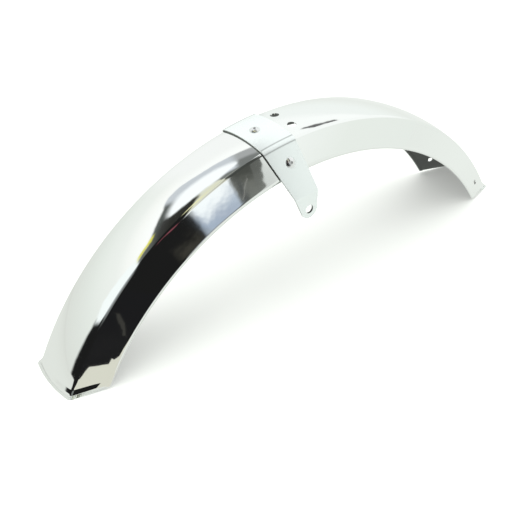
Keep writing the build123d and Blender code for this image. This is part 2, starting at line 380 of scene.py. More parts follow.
def buildGuard(materials):
    # outside and inside of the sheet, each a section swept about the wheel axis, with the walls of the holes, the
    # faces of the hems and the cut ends
    rows = guardRows()
    share, lipShare = rows
    hemCols = guard["hemCols"]  # wall columns that the hem covers inside
    shape = sectionFrame(np.zeros(1))
    flankLength = np.linalg.norm(shape["flankTop"][0] - shape["fold"][0])
    hemShare = 1 - (guard["hemDepth"] - guard["sheet"]) / flankLength
    crownCount = int(shape["round"][0] * shape["turnStart"][0] / guard["pitch"])
    shares = [np.linspace(0, 1, crownCount + 1), np.linspace(0, 1, 13)[1:],
              np.concatenate([np.linspace(0, hemShare, int(flankLength * hemShare / guard["pitch"]) + 1)[1:],
                              np.linspace(hemShare, 1, hemCols + 1)[1:]])]
    outer, plain = wholeWall(shares, rows, 0)
    count, cols = outer.shape[:2]
    inner, _ = wholeWall(shares, rows, guard["sheet"])
    outerNormals = surfaceNormals(outer, plain, guard["lipRows"])
    innerNormals = surfaceNormals(inner, plain, guard["lipRows"])
    # shading of the lips: on the flanks a quick bend, less of it towards the lower edge, and an end that rolls over
    # downwards, as on the crown
    onCrown = np.concatenate([np.ones(crownCount + 1), np.linspace(1, 0, 12), np.zeros(len(shares[2]))])
    fade = np.concatenate([1 - onCrown[:crownCount + 13], 1 - shares[2]])
    onCrown, fade = [np.concatenate([half[::-1], half[1:]]) for half in (onCrown, fade)]
    way = np.linspace(1, 0, guard["lipRows"])[:, None]
    rollOver = guard["lipRoll"] * np.maximum(way / 0.55 - 0.82, 0)  # starts 0.45 of the way to the lip's end
    curl = np.radians(np.interp(way, *guard["lipCurl"])) * fade - rollOver * onCrown
    for end, side in ((slice(0, guard["lipRows"]), -1), (slice(None, -guard["lipRows"] - 1, -1), 1)):
        wall = unit(outerNormals[end] * onCrown[:, None] + plain[end] * (1 - onCrown)[:, None])
        inward = np.array([side * np.sin(slope), 0, np.cos(slope)])
        inward = unit(inward - (wall * inward).sum(-1, keepdims=True) * wall)
        outerNormals[end] = wall * np.cos(curl)[..., None] + inward * np.sin(curl)[..., None]
    # the lower edges are rolled: near them the shading leans down, on into the round of the fold
    roll = guard["hemRoll"] * np.linspace(0, 1, hemCols + 1)**2
    for edge in (slice(hemCols, None, -1), slice(cols - hemCols - 1, None)):
        wall, down = outerNormals[:, edge], unit(outer[:, edge][:, -1:] - outer[:, edge][:, :1])
        outerNormals[:, edge] = wall * np.cos(roll)[:, None] + down * np.sin(roll)[:, None]
    holes = guardHoles()
    rims, insides = boreAll(outer, inner, outerNormals, holes, guard["pitch"])
    rim, inside = np.any(rims, 0), np.any(insides, 0)
    store = newStore()
    addGrid(store, outer, outerNormals, 0, inside, rim)
    keep = slice(hemCols, cols - hemCols)
    keptInside, keptRim = [mask.reshape(count, cols)[:, keep].ravel() for mask in (inside, rim)]
    addGrid(store, inner[:, keep], -innerNormals[:, keep], 1, keptInside, keptRim)
    holeWalls(store, outer.reshape(-1, 3), inner.reshape(-1, 3), (count, cols), holes, rims, insides, 0)
    # hem on both sides: round of the fold, inner face of the strip and its top edge
    lift = guard["lipWidth"] * lipShare
    s = sectionFrame(lipFlare(lipShare))
    foldAngle = s["turnEnd"] + np.linspace(0, np.pi, guard["foldCols"])
    foldLine, _ = onCircle(s["fold"] - s["outward"] * guard["sheet"], guard["sheet"], foldAngle)
    foldLean = (np.pi - guard["hemRoll"]) * np.linspace(0, 1, guard["foldCols"])
    _, foldNormal = onCircle(0, 0, s["turnEnd"] + guard["hemRoll"] + foldLean)
    stripShare = np.linspace(0, 1, hemCols + 1)[:, None]
    strip = s["fold"] + (s["hemTop"] - s["fold"]) * stripShare - s["outward"] * 2 * guard["sheet"]
    stripNormal = np.broadcast_to(-s["outward"], strip.shape)
    top = s["hemTop"] - s["outward"] * guard["sheet"] * np.array([2.0, 1.0])[:, None]
    topNormal = np.broadcast_to(s["upward"], top.shape)
    for side in (-1, 1):
        flip = np.array([side, 1])
        for path, normal in ((foldLine, foldNormal), (strip, stripNormal), (top, topNormal)):
            points, normals = swept(path * flip, normal * flip, lift, share)
            addGrid(store, points, normals, 0 if path is foldLine else 1)
    # cut edge of the sheet at both ends
    for row, heading in ((0, -1), (-1, 1)):
        facing = np.array([-heading * np.sin(slope), 0, -np.cos(slope)])
        wide = np.broadcast_to(facing, outer[row, keep].shape)
        addRibbon(store, outer[row, keep], inner[row, keep], wide, 0)
        for side in (-1, 1):
            flip = np.array([side, 1])
            stripEnd = swept(strip * flip, stripNormal * flip, lift, share)[0][row][::-1]
            wallEnd = outer[row, :hemCols + 1][::-1] if side < 0 else outer[row, cols - hemCols - 1:]
            addRibbon(store, wallEnd, stripEnd, np.broadcast_to(facing, wallEnd.shape), 0)
            arc = swept(foldLine * flip, foldNormal * flip, lift, share)[0][row]
            centre = np.broadcast_to((arc[0] + arc[-1]) / 2, arc.shape)
            addRibbon(store, arc, centre, np.broadcast_to(facing, arc.shape), 0)
    return makePiece("chromedGuard", store, materials)


strap = {
    "gauge": 2.0, "seat": 0.1, "width": 36.0, "bendDrop": 19.0, "bendRound": 3.0, "bendLeft": -4.7,
    "bendRight": 21.5, "earHole": 8.5, "earHoleOffset": 9.0, "earHoleDrop": 15.5, "earEnd": 9.0,
    "edgeRound": 0.42, "smooth": 0.3, "foldWidth": 0.55, "pitch": 0.75, "cols": 49,
}
strapTop = strap["seat"] + strap["gauge"]
bendRadius = edgeRadius - strap["bendDrop"]
earRadius = bendRadius - strap["earHoleDrop"]
earReach = np.hypot(strap["earHoleOffset"], earRadius)


def strapLine():
    # half of the strap's seat line as (across, radius) with its normals: crown arc, shoulder round, flank line,
    # round of the fold and upright ear, whose last rows close in on the end's lowest point as a sine does
    shape = {key: value if np.ndim(value) < 2 else value[0] for key, value in sectionFrame(np.zeros(1)).items()}

    def steps(length):
        return int(length / strap["pitch"]) + 1
    crown = onCircle(shape["centre"], shape["round"][0],
                     np.linspace(0, shape["turnStart"][0], steps(shape["round"][0] * shape["turnStart"][0])))
    shoulder = onCircle(shape["turn"], guard["shoulderRadius"],
                        np.linspace(shape["turnStart"][0], shape["turnEnd"][0], 17)[1:])
    splay = np.pi / 2 - shape["turnEnd"][0]
    fold = np.array([flankAcross(bendRadius), bendRadius])
    foldTop = fold + shape["upward"] * strap["bendRound"] * np.tan(splay / 2)
    share = np.linspace(0, 1, steps(np.linalg.norm(shape["flankTop"] - foldTop)))[1:, None]
    flank = shape["flankTop"] + (foldTop - shape["flankTop"]) * share
    bend = onCircle(foldTop - shape["outward"] * strap["bendRound"], strap["bendRound"],
                    np.linspace(shape["turnEnd"][0], np.pi / 2, 7)[1:])
    low = bend[0][-1, 1]
    ear = np.concatenate([np.linspace(low, earReach, steps(low - earReach))[1:],
                          earReach - strap["earEnd"] * np.sin(np.linspace(0, np.pi / 2, 25))[1:]])
    line = np.vstack([crown[0], shoulder[0], flank, bend[0], np.c_[np.full(len(ear), fold[0]), ear]])
    normal = np.vstack([crown[1], shoulder[1], np.repeat(shape["outward"][None], len(flank), 0), bend[1],
                        np.repeat([[1.0, 0.0]], len(ear), 0)])
    flip = np.array([-1, 1])
    # painted shade: thin lines where the shoulder round starts and ends, along which the strap's colour is darkened
    way = np.concatenate([[0], np.cumsum(np.linalg.norm(np.diff(line, axis=0), axis=1))])
    folds = way[[len(crown[0]) - 1, len(crown[0]) + len(shoulder[0]) - 1]]
    foldShade = np.exp(-((way[:, None] - folds) / strap["foldWidth"])**2).max(1)
    return (np.vstack([line[::-1] * flip, line[1:]]), np.vstack([normal[::-1] * flip, normal[1:]]),
            np.concatenate([foldShade[::-1], foldShade[1:]]))


def strapOutline(side):
    # one edge of the blank in the side view, as radius and angle: upright beside the crown, straight to the fold,
    # on along the tangent to the round end and round that to its point nearest the wheel axis
    end = np.array([strap["earHoleOffset"], earRadius])
    fold = np.array([strap["bendLeft"] if side < 0 else strap["bendRight"], bendRadius])
    toFold = fold - end
    touch = np.arctan2(toFold[1], toFold[0]) - side * np.arccos(strap["earEnd"] / np.linalg.norm(toFold))
    lowest = np.arctan2(-end[1], -end[0])
    touch, lowest = (touch, lowest) if side > 0 else (touch, lowest + 2 * np.pi)
    turn = np.linspace(touch, lowest, 60)
    tip = end + strap["earEnd"] * np.stack([np.cos(turn), np.sin(turn)], -1)
    half = side * strap["width"] / 2
    corners = np.array([(half, guard["crownRadius"] + 9), (half, cornerRadius), fold, tip[0]])
    share = np.linspace(0, 1, 80)[:, None]
    path = np.vstack([*(a + (b - a) * share for a, b in zip(corners[:-1], corners[1:])), tip])
    radius, angle = np.hypot(path[:, 0], path[:, 1]), np.arctan2(path[:, 0], path[:, 1])
    order = np.argsort(radius)
    return radius[order], angle[order]


def strapSheet(line, normal, depth, inset, share):
    # points of the strap at a depth above its seat line, a share of the way across and an inset from both edges
    across = line[:, :1] + normal[:, :1] * depth
    radius = line[:, 1:] + normal[:, 1:] * depth
    left, right = [np.interp(radius, *strapOutline(side)) for side in (-1, 1)]
    inset = np.minimum(inset / radius, (right - left) / 2)
    angle = np.radians(guard["strapAngle"]) + left + inset + share * (right - left - 2 * inset)
    points = np.stack([radius * np.sin(angle), np.broadcast_to(across, angle.shape),
                       radius * np.cos(angle) + axisHeight], -1)
    normals = np.stack([normal[:, 1:] * np.sin(angle), np.broadcast_to(normal[:, :1], angle.shape),
                        normal[:, 1:] * np.cos(angle)], -1)
    return points, normals, radius, angle


def buildStrap(materials):
    # both faces of the strip, each its line lifted and spread between the two edges of the blank, with the walls of
    # the holes and the cut edges
    line, normal, foldShade = strapLine()
    share = np.linspace(0, 1, strap["cols"])[None]
    store = newStore()
    outer, outerNormals, _, _ = strapSheet(line, normal, strapTop, strap["edgeRound"], share)
    inner, innerNormals, _, _ = strapSheet(line, normal, strap["seat"], strap["edgeRound"], share)
    earAngle = np.radians(guard["strapAngle"]) + np.arctan2(strap["earHoleOffset"], earRadius)
    earPlaces = [radialPoint(earAngle, earReach, side * flankAcross(bendRadius)) for side in (-1, 1)]
    holes = [roundHole(place, (0, 1, 0), strap["earHole"]) for place in earPlaces] + rivetHoles()
    rims, insides = boreAll(outer, inner, outerNormals, holes, strap["pitch"])
    rim, inside = np.any(rims, 0), np.any(insides, 0)
    addGrid(store, outer, outerNormals, 0, inside, rim, np.repeat(foldShade, strap["cols"]))
    addGrid(store, inner, -innerNormals, 0, inside, rim)
    holeWalls(store, outer.reshape(-1, 3), inner.reshape(-1, 3), outer.shape[:2], holes, rims, insides, 1)
    # both cut edges: a quarter round, the gauge, whose upper part the shear leaves smooth and bright, and a quarter
    # round again; the lower part, like the hole walls, takes a very dark finish that is partly the dull fracture and
    # partly painted shade of the gap on the guard
    turn = np.concatenate([np.linspace(0, np.pi / 2, 5), [np.pi / 2], np.linspace(np.pi / 2, np.pi, 5)])[None]
    depth = np.where(np.arange(11) < 5, strapTop - strap["edgeRound"] * (1 - np.cos(turn)),
                     strap["seat"] + strap["edgeRound"] * (1 + np.cos(turn)))
    depth[:, 5] = strapTop - strap["edgeRound"] - strap["smooth"]
    inset = strap["edgeRound"] * (1 - np.sin(turn))
    step = 0.05  # for the slope of the outline
    for side in (-1, 1):
        points, face, radius, angle = strapSheet(line, normal, depth, inset, np.full_like(turn, (side + 1) / 2))
        outline = strapOutline(side)
        lean = radius * (np.interp(radius + step, *outline) - np.interp(radius, *outline)) / step
        away = np.stack([np.cos(angle) - lean * np.sin(angle), np.zeros_like(angle),
                         -np.sin(angle) - lean * np.cos(angle)], -1) * side
        normals = unit(np.cos(turn)[..., None] * face + np.sin(turn)[..., None] * unit(away))
        addGrid(store, points[:, :6], normals[:, :6], 0)
        addGrid(store, points[:, 5:], normals[:, 5:], 1)
    return makePiece("platedStrap", store, materials)


rivet = {
    "shank": 4.8, "head": 9.5, "height": 1.69, "rim": 0.4, "bore": 2.7, "tail": 7.2, "tailLength": 3.2, "bulge": 1.6,
    "gap": 0.1, "stemGap": 0.1, "recess": 0.6, "pinHead": 4.4, "pinTip": 2.4, "pinLength": 1.8, "sides": 65,
}
grip = strapTop + guard["sheet"] + rivet["gap"]


def latheLine(store, hole, corners, normals):
    # a line of (radius, height) turned about a rivet's axis, which starts on the strap's outside
    axis = hole["axis"]
    first = unit(np.cross(axis, np.array([0.3, 0.5, 0.8])))
    second = np.cross(axis, first)
    turn = np.linspace(0, 2 * np.pi, rivet["sides"])
    ring = np.cos(turn)[:, None] * first + np.sin(turn)[:, None] * second
    foot = hole["centre"] + axis * strapTop
    points = foot + corners[:, None, :1] * ring + corners[:, None, 1:] * axis
    addGrid(store, points, normals[:, None, :1] * ring + normals[:, None, 1:] * axis, 0)


def latheCorners(store, hole, corners):
    # straight sides between corners, each flat in section
    for start, end in zip(corners[:-1], corners[1:]):
        way = unit(np.subtract(end, start).astype(float))
        latheLine(store, hole, np.array([start, end], float), np.repeat([[-way[1], way[0]]], 2, 0))


def buildRivets(materials):
    # domed head: an arc that leaves the bore level and falls to the rim; then shank, upset tail and bore
    store = newStore()
    edge, bore, shank = rivet["head"] / 2, rivet["bore"] / 2, rivet["shank"] / 2
    wide, fall = edge - bore, rivet["height"] - rivet["rim"]
    dome = (wide**2 + fall**2) / (2 * fall)
    turn = np.linspace(0, np.arcsin(wide / dome), 15)
    tailEnd = -grip - rivet["tailLength"]
    for hole in rivetHoles():
        domeLine, domeNormal = onCircle(np.array([bore, rivet["height"] - dome]), dome, turn)
        latheLine(store, hole, domeLine, domeNormal)
        latheCorners(store, hole, [
            (edge, rivet["rim"]), (edge, 0), (shank, 0), (shank, -grip), (rivet["tail"] / 2, -grip - rivet["bulge"]),
            (shank, tailEnd), (bore, tailEnd), (bore, rivet["height"])])
    return makePiece("rivetShells", store, materials)


def buildMandrels(materials):
    # snapped stem inside the head, and the pin's own head below the tail
    store = newStore()
    stem = (rivet["bore"] - rivet["stemGap"]) / 2
    top = rivet["height"] - rivet["recess"]
    seat = -grip - rivet["tailLength"] - rivet["stemGap"]
    for hole in rivetHoles():
        latheCorners(store, hole, [
            (0, top), (stem, top), (stem, seat), (rivet["pinHead"] / 2, seat),
            (rivet["pinTip"] / 2, seat - rivet["pinLength"]), (0, seat - rivet["pinLength"])])
    return makePiece("rivetPins", store, materials)


def newMaterial(name):
    # material with the usual shader
    material = bpy.data.materials.new(name)
    material.use_nodes = True
    tree = material.node_tree
    return material, tree, tree.nodes["Principled BSDF"]


def bareMaterial(name):
    # material with only an output
    material, tree, _ = newMaterial(name)
    tree.nodes.clear()
    return material, tree, tree.nodes.new("ShaderNodeOutputMaterial").inputs["Surface"]


def mixColours(tree, factor, first, second):
    # mix of two colours, each given as numbers or as the output of a node
    mix = tree.nodes.new("ShaderNodeMix")
    mix.data_type = "RGBA"
    tree.links.new(factor, mix.inputs["Factor"])
    for name, colour in (("A", first), ("B", second)):
        if isinstance(colour, bpy.types.NodeSocket):
            tree.links.new(colour, mix.inputs[name])
        else:
            mix.inputs[name].default_value = (*colour, 1)
    return mix.outputs["Result"]


def noiseFrom(tree, scale, detail, low, high):
    # noise on the piece's own coordinates, mapped to a range
    coords = tree.nodes.new("ShaderNodeTexCoord")
    noise = tree.nodes.new("ShaderNodeTexNoise")
    noise.inputs["Scale"].default_value = scale
    noise.inputs["Detail"].default_value = detail
    level = tree.nodes.new("ShaderNodeMapRange")
    level.inputs["To Min"].default_value = low
    level.inputs["To Max"].default_value = high
    tree.links.new(coords.outputs["Object"], noise.inputs["Vector"])
    tree.links.new(noise.outputs["Fac"], level.inputs["Value"])
    return level.outputs["Result"]


def metalFinish(name, cfg):
    # plated or bare metal: even colour, with painted shade lines at the folds where a folds level is given, gloss
    # that varies in patches and a faint unevenness
    material, tree, shader = newMaterial(name)
    shader.inputs["Base Color"].default_value = (*cfg["colour"], 1)
    shader.inputs["Metallic"].default_value = cfg["metallic"]
    # painted shade: the fold-shade attribute darkens the colour in thin lines along the strap's folds
    if "folds" in cfg:
        marks = tree.nodes.new("ShaderNodeAttribute")
        marks.attribute_name = "foldShade"
        foldShaded = mixColours(tree, marks.outputs["Fac"], cfg["colour"], cfg["folds"] * np.array(cfg["colour"]))
        tree.links.new(foldShaded, shader.inputs["Base Color"])
    rough = noiseFrom(tree, cfg["patchScale"], 3.0, cfg["roughLow"], cfg["roughHigh"])
    tree.links.new(rough, shader.inputs["Roughness"])
    bump = tree.nodes.new("ShaderNodeBump")
    bump.inputs["Strength"].default_value = cfg["bump"]
    bump.inputs["Distance"].default_value = cfg["bumpDepth"]
    tree.links.new(noiseFrom(tree, cfg["grainScale"], 2.0, 0.0, 1.0), bump.inputs["Height"])
    tree.links.new(bump.outputs["Normal"], shader.inputs["Normal"])
    return material


finishes = {
    "chrome": {"metallic": 1.0, "colour": (0.93, 0.95, 0.935), "patchScale": 14.0, "roughLow": 0.02,
               "roughHigh": 0.06, "grainScale": 60.0, "bump": 0.22, "bumpDepth": 0.0002},
    "inside": {"metallic": 1.0, "colour": (0.10, 0.105, 0.10), "patchScale": 30.0, "roughLow": 0.30,
               "roughHigh": 0.5, "grainScale": 400.0, "bump": 0.15, "bumpDepth": 0.0002},
    # the zinc's folds level sets how dark its painted shade lines at the folds are
    "zinc": {"metallic": 0.7, "colour": (0.925, 0.98, 0.97), "folds": 0.5, "patchScale": 40.0, "roughLow": 0.22,
             "roughHigh": 0.30, "grainScale": 500.0, "bump": 0.02, "bumpDepth": 0.0001},
    # painted shade: the cut edge's very dark colour also stands for the shade in the gap under the strap's edges
    "shadedCutEdge": {"metallic": 1.0, "colour": (0.20, 0.205, 0.20), "patchScale": 200.0, "roughLow": 0.3,
                "roughHigh": 0.5, "grainScale": 900.0, "bump": 0.2, "bumpDepth": 0.0001},
    "rivet": {"metallic": 1.0, "colour": (0.86, 0.87, 0.87), "patchScale": 300.0, "roughLow": 0.16,
              "roughHigh": 0.28, "grainScale": 900.0, "bump": 0.05, "bumpDepth": 0.0001},
    "mandrel": {"metallic": 1.0, "colour": (0.55, 0.55, 0.56), "patchScale": 400.0, "roughLow": 0.3,
                "roughHigh": 0.5, "grainScale": 1500.0, "bump": 0.3, "bumpDepth": 0.0002},
}
metals = {name: metalFinish(name, cfg) for name, cfg in finishes.items()}
for piece, node, slot in ((buildGuard([metals["chrome"], metals["inside"]]), "mudguard", "chrome"),
                          (buildStrap([metals["zinc"], metals["shadedCutEdge"]]), "fork_strap", "zinc"),
                          (buildRivets([metals["rivet"]]), "rivet_bodies", "rivet"),
                          (buildMandrels([metals["mandrel"]]), "rivet_mandrels", "mandrel")):
    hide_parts(node)

# metres; the mirror tones are what the metal sees of the floor, from its left to its right
studio = {
    "floor": 4.0, "floorColour": (0.905, 0.935, 0.895), "liftColour": (0.98, 1.0, 0.965), "cameraLift": 0.30,
    "mirrorTone": (0.16, 0.165, 0.16), "mirrorLeft": (0.575, 0.59, 0.555), "mirrorRight": (0.70, 0.725, 0.695),
    "mirrorSpan": (-0.5, 0.4), "far": 12.0,
    "fill": 0.90, "lampSize": 1.2, "lampPlace": (-0.35, 0.20, 1.2), "lampPower": 6.0,
}


def soften(value, width):
    # 0 to 1 over a width about zero, eased at both ends
    share = np.clip(value / width + 0.5, 0, 1)
    return share * share * (3 - 2 * share)


def paint(room, colour, soft, stations):
    # lays a colour between the low and high lines that run through (azimuth, low, high) stations, in degrees;
    # azimuth 0 is towards -Y and 90 towards +X; soft is one width or those of the low line, high line and sides
    azimuth, low, high = np.array(stations, float).T
    softLow, softHigh, softSide = np.broadcast_to(soft, 3)
    place = azimuth[0] - 20 + (room["azimuth"] - azimuth[0] + 20) % 360
    cover = (soften(room["elevation"] - np.interp(place, azimuth, low), softLow)
             * soften(np.interp(place, azimuth, high) - room["elevation"], softHigh)
             * soften(place - azimuth[0], softSide) * soften(azimuth[-1] - place, softSide))[..., None]
    room["colour"] += (np.array(colour) - room["colour"]) * cover


def upright(room, shades):
    # a colour that changes with elevation, from rows of (elevation, red, green, blue)
    level, *channels = np.array(shades, float).T
    return np.stack([np.interp(room["elevation"], level, channel) for channel in channels], -1)


def stagePiece(name, points, faces, material):
    # studio things that only the metal sees
    mesh = bpy.data.meshes.new(name)
    mesh.from_pydata(points, [], faces)
    mesh.materials.append(material)
    piece = bpy.data.objects.new(name, mesh)
    scene.collection.objects.link(piece)
    piece.visible_camera = False
    piece.visible_diffuse = False
    piece.visible_shadow = False
    return mesh


def glow(name, colour=None):
    # even light of one colour, or of the colours painted on the mesh
    material, tree, surface = bareMaterial(name)
    light = tree.nodes.new("ShaderNodeEmission")
    tree.links.new(light.outputs["Emission"], surface)
    if colour is None:
        painted = tree.nodes.new("ShaderNodeAttribute")
        painted.attribute_name = "paint"
        tree.links.new(painted.outputs["Color"], light.inputs["Color"])
    else:
        light.inputs["Color"].default_value = (*colour, 1)
    return material


def layPaint(mesh, colours):
    # one colour for each point, which the glow reads
    layer = mesh.attributes.new("paint", "FLOAT_COLOR", "POINT")
    layer.data.foreach_set("color", colours.astype(np.float32).ravel())


def floorCard(name, height, colour, line):
    # flat card that faces up from just above the floor
    stagePiece(name, [(x, y, height) for x, y in line], [tuple(range(len(line)))[::-1]], glow(name, colour))


def buildRoom():
    # far sphere on a grid of azimuth and elevation, painted with the room that the metal sees
    heights = np.concatenate([np.arange(-90, -20, 2.0), np.arange(-20, 20, 0.5), np.arange(20, 40, 1.0),
                              np.arange(40, 70, 0.5), np.arange(70, 91, 1.0)])
    azimuth, elevation = np.meshgrid(np.arange(0, 361, 1.0), heights)
    room = {"azimuth": azimuth, "elevation": elevation, "colour": np.full((*azimuth.shape, 3), 0.012)}
    # pale yellowish ceiling on the left and white ceiling on the right, dark between them
    paint(room, (0.76, 0.765, 0.63), 2.5, [(180, 66, 95), (184, 64.5, 95), (190, 63, 95), (200, 61.5, 95),
          (205, 62, 95), (213, 66, 95), (250, 73, 95), (300, 73.5, 95), (320, 68, 95), (330, 62, 95), (340, 52, 95),
          (350, 38, 95), (355, 28, 95), (362, 20, 95)])
    paint(room, (1.0, 1.02, 1.01), 4, [(25, 17, 95), (36, 16, 95), (60, 9, 95), (100, 11, 95), (120, 17, 95),
          (150, 38, 95)])
    paint(room, (0.20, 0.21, 0.205), 3, [(60, 78, 95), (100, 77, 95), (118, 74, 95), (128, 70, 95), (138, 63, 95),
          (146, 57, 95), (160, 57, 95), (170, 62, 95), (180, 65, 95)])
    paint(room, (0.40, 0.41, 0.415), 3, [(146, 48, 58.5), (166, 48, 58.5)])
    # dull strip under the soft lamp, dark to its left
    paint(room, (0.61, 0.645, 0.69), (2, 2, 6), [(163, 40, 65), (202, 40, 62)])
    dark = [(46, 0.13, 0.14, 0.135), (49, 0.10, 0.11, 0.105), (52, 0.05, 0.05, 0.048), (56, 0.03, 0.03, 0.027)]
    paint(room, upright(room, dark), (2, 2, 7), [(200, 40, 64), (243, 40, 64)])
    # pale backdrop behind, whiter towards its top, and to the right
    pale = [(-12, 0.70, 0.715, 0.675), (4, 0.765, 0.79, 0.75), (10, 0.79, 0.82, 0.78), (17, 0.83, 0.865, 0.825),
            (24, 0.875, 0.905, 0.87), (31, 0.905, 0.93, 0.90), (38, 1.0, 1.01, 0.985), (45, 1.05, 1.06, 1.05)]
    paint(room, upright(room, pale), 1.6, [(150, -90, 51.5), (160, -90, 51.2), (168, -90, 50.3), (174, -90, 49.2),
          (179, -90, 48), (184, -90, 45.8), (189, -90, 43.3), (194, -90, 42.7), (197, -90, 43.2), (200, -90, 44.3),
          (203, -90, 45.8), (207, -90, 46.7), (212, -90, 47.2), (220, -90, 47.8), (230, -90, 47.2), (236, -90, 43),
          (241, -90, 41)])
    paint(room, (0.97, 0.98, 0.975), 14, [(146, 14, 46), (182, 18, 42)])
    bright = [(0, 0.86, 0.89, 0.855), (12, 0.92, 0.955, 0.935), (24, 0.94, 0.97, 0.955), (30, 1.0, 1.02, 1.01)]
    paint(room, upright(room, bright), (4, 1.5, 6), [(105, -90, 50), (124, -90, 50), (151, -90, 51)])
    paint(room, (1.02, 1.04, 1.03), 5, [(100, 14, 60), (112, 15, 60), (118, 17, 56), (123, 22, 54), (128, 26.5, 52),
          (134, 31, 51), (142, 36, 51), (152, 41, 51)])
    side = [(-6, 0.84, 0.875, 0.84), (9, 0.855, 0.89, 0.85), (15, 0.95, 0.975, 0.955), (20, 1.0, 1.02, 1.01)]
    paint(room, upright(room, side), 1.5, [(20.5, -90, 14), (24, -90, 16), (26, -90, 60), (60, -90, 60),
          (108, -90, 60)])
    # painted shade: a darker strip of wall beside the screen, which darkens the flank next to the strap
    paint(room, (0.66, 0.685, 0.665), (3, 3, 2.5), [(20.5, -20, 14), (24.8, -20, 14)])
    # soft lamp, yellowish patch above it
    paint(room, (1.04, 1.07, 1.09), (5, 2.5, 3), [(162, 59, 61), (165, 58, 62.5), (168, 57, 63), (174, 55, 64),
          (180, 53.5, 64.8), (187, 51.7, 64.5), (193.5, 49.8, 63), (200, 49.7, 61.5), (204, 50, 60.3),
          (209.5, 51, 57.5), (214, 52.6, 54.4)])
    paint(room, (0.86, 0.84, 0.50), 2, [(184, 69, 76), (220, 68, 77), (320, 73, 82)])
    # one even tone straight above
    for start in (0, 180):
        paint(room, (0.60, 0.61, 0.54), 7, [(start, 85, 120), (start + 200, 85, 120)])
    # yellow strip, light and dull strips on the left, red streak, dark sliver on the right
    paint(room, (0.78, 0.74, 0.12), 1.2, [(223, 48, 49.2), (228, 46, 48.4), (232, 43.4, 45.8), (237, 40.4, 42.4)])
    paint(room, (0.98, 1.03, 1.03), 3, [(234, 36, 43), (237, 24, 43), (242, 19, 45), (250, 24, 46), (262, 28, 46)])
    paint(room, (0.45, 0.48, 0.49), 6, [(256, 26, 46), (270, 28, 47), (290, 26, 44)])
    paint(room, (0.19, 0.20, 0.20), 6, [(288, 22, 42), (302, 20, 40), (320, 12, 30)])
    paint(room, (0.24, 0.07, 0.09), 2, [(318, 45, 49), (335, 39, 43), (350, 23, 28), (359, 10.5, 13)])
    paint(room, (0.15, 0.15, 0.15), 1.2, [(119, 39, 43), (121, 36, 42), (122, 31.5, 39), (123, 31.5, 36.5),
          (124, 34, 40), (125, 36.3, 41.2), (127, 37.8, 42), (129, 40.6, 43), (130.5, 41.8, 43.4)])
    # tall window in front: bluish low down, white above, duller at the top
    low = [(7.5, 0.30, 0.32, 0.35), (8.3, 0.40, 0.44, 0.50), (8.9, 0.38, 0.46, 0.58), (10.5, 0.40, 0.46, 0.57),
           (11.2, 0.45, 0.52, 0.62), (12, 0.50, 0.57, 0.67)]
    paint(room, upright(room, low), 1.5, [(364.6, 8.6, 13), (365.2, 7.4, 13), (366, 6, 13), (368, -20, 13),
          (374.7, -20, 13)])
    high = [(9, 1.0, 1.05, 1.08), (15, 0.99, 1.02, 1.03), (34, 0.70, 0.70, 0.62), (50, 0.44, 0.44, 0.36),
            (85, 0.36, 0.36, 0.29)]
    paint(room, upright(room, high), 1.2, [(353, 32, 48), (356, 25, 50), (360, 16, 56), (363, 11.2, 89),
          (364.2, 10.3, 89), (365, 9.9, 89), (366, 9.7, 85), (367, 10.0, 80), (369, 10.8, 60), (371, 11.4, 32),
          (373, 12.2, 22), (374.9, 12.7, 16)])
    # dull screen beside the window, darker higher up
    dull = [(10.8, 0.19, 0.20, 0.18), (11.6, 0.18, 0.19, 0.175), (12.2, 0.18, 0.185, 0.17), (12.8, 0.14, 0.145, 0.13),
            (13.5, 0.07, 0.073, 0.065), (50, 0.055, 0.06, 0.055), (75, 0.09, 0.095, 0.09)]
    paint(room, upright(room, dull), 1.5, [(0, 76, 89), (4, 62, 89), (7, 48, 89), (10, 34, 89), (12.5, 22, 89),
          (14.3, 16, 89), (15.0, 11, 89), (15.4, -10, 89), (20.5, -10, 89)])
    paint(room, (0.085, 0.09, 0.09), 1.2, [(15.3, -10, 13), (16.7, -10, 13)])
    paint(room, (0.06, 0.063, 0.058), 2, [(19, 14, 89), (23, 15, 89), (25, 40, 89), (30, 60, 89), (45, 68, 89),
          (60, 76, 89)])
    # brownish panel low in the dark front
    paint(room, (0.055, 0.052, 0.042), 0.8, [(358, 4.5, 5.5), (360.4, 5.8, 6.6), (362, 6.4, 7.4), (364, 7.5, 8.5)])
    rows, cols = azimuth.shape
    a, e = np.radians(azimuth), np.radians(elevation)
    points = np.stack([np.sin(a) * np.cos(e), -np.cos(a) * np.cos(e), np.sin(e)], -1) * studio["far"]
    k = np.arange(rows * cols).reshape(rows, cols)
    quads = np.stack([k[:-1, :-1], k[:-1, 1:], k[1:, 1:], k[1:, :-1]], -1).reshape(-1, 4)
    mesh = stagePiece("room", points.reshape(-1, 3).tolist(), quads.tolist(), glow("room"))
    layPaint(mesh, np.dstack([room["colour"], np.ones((rows, cols))]))
    print("room", len(quads), "faces")


buildRoom()

# dark card just above the floor in front of the left half, seen only by the metal, with a paler streak
floorCard("darkFloorCard", 0.0005, (0.012, 0.012, 0.013), [
    (-0.45, 0.03), (-0.37, -0.03), (-0.30, -0.06), (-0.274, -0.066), (-0.2715, -0.076), (-0.2745, -0.100),
    (-0.276, -0.116), (-0.268, -0.119), (-0.259, -0.126), (-0.262, -0.150), (-0.2575, -0.142), (-0.256, -0.160),
    (-0.259, -0.21), (-0.20, -0.28), (0.10, -0.55), (0.30, -4.1), (-4.1, -4.1), (-4.1, 0.0), (-1.2, 0.15),
    (-0.60, 0.115)])
floorCard("darkCardStreak", 0.0007, (0.048, 0.047, 0.042), [
    (-0.398, -0.74), (-0.385, -0.74), (-0.361, -0.63), (-0.328, -0.50), (-0.303, -0.395), (-0.287, -0.32),
    (-0.291, -0.32), (-0.309, -0.395), (-0.336, -0.50), (-0.369, -0.63)])
